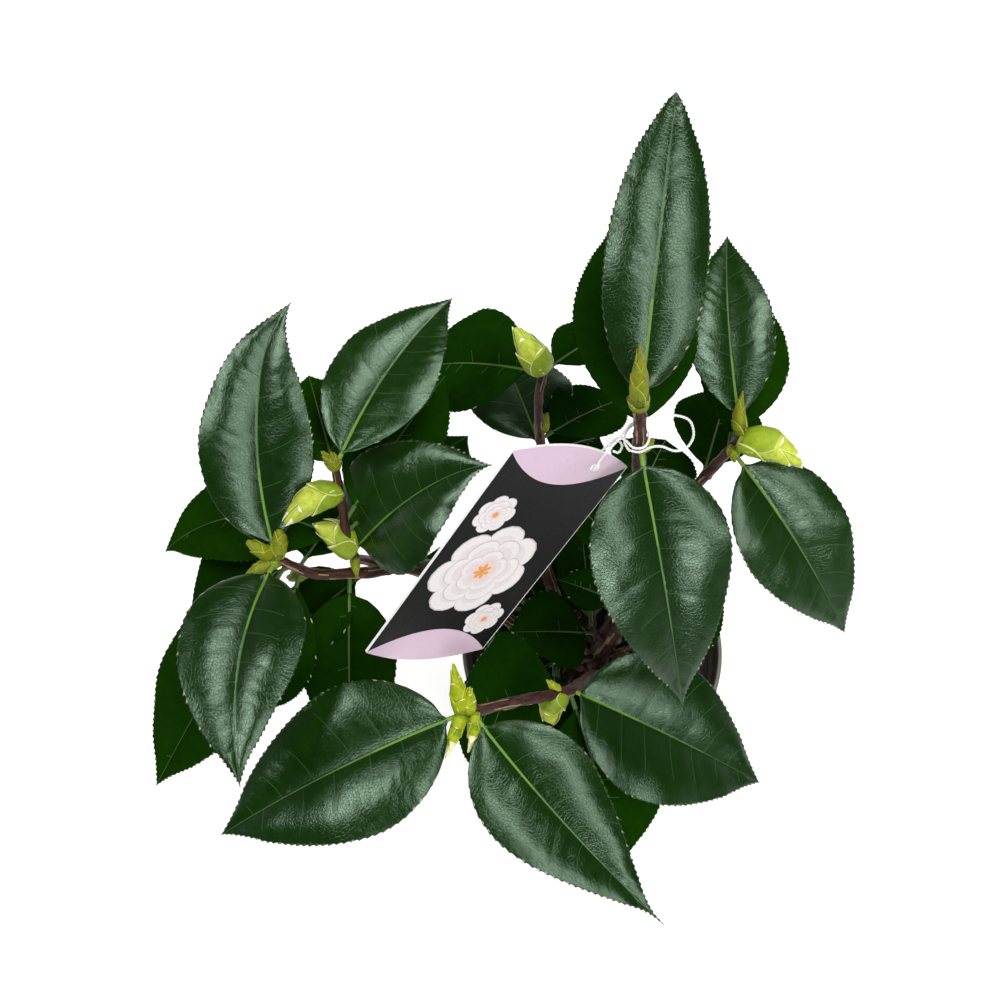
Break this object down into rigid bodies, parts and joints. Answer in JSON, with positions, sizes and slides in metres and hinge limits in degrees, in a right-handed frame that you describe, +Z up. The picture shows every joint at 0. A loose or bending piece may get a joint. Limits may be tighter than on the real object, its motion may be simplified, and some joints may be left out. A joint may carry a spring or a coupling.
{
  "type": "potted camellia shrub",
  "caption": "Young evergreen shrub with large glossy leaves, pointed buds and red-brown stems, growing in a round plastic nursery pot with a plain tag tied on.",
  "frame": {"origin": "centre of the pot's flat underside, at the level of the surface that it stands on", "axes": "+Z up along the pot's axis, +X to the right and -Y to the front, where the pictured view looks from"},
  "size_m": [0.2778, 0.2626, 0.3806],
  "materials": {
    "pot_plastic": "satin taupe",
    "compost": "dark loose compost",
    "bark": "red-brown bark with pale flakes",
    "foliage": "glossy dark green leaves, yellow-green buds",
    "tag_card": "printed card, pale pink bands and a dark field",
    "tag_string": "white twine"
  },
  "bodies": {
    "root": {"pot": "pot_plastic", "compost": "compost", "trunk": "bark", "bough_left": "bark", "bough_left_side": "bark", "bough_upper": "bark", "bough_tall": "bark", "bough_right": "bark", "bough_lower": "bark", "foliage_left_outer": "foliage", "foliage_left_inner": "foliage", "foliage_upper": "foliage", "foliage_tall": "foliage", "foliage_right": "foliage", "foliage_lower": "foliage", "foliage_centre": "foliage", "foliage_low_back": "foliage", "foliage_low_front": "foliage", "foliage_low_left": "foliage", "foliage_low_right": "foliage", "foliage_mid_back": "foliage", "foliage_mid_front": "foliage", "foliage_mid_right": "foliage", "plant_tag": "tag_card", "tag_string": "tag_string"}
  },
  "joints": []
}
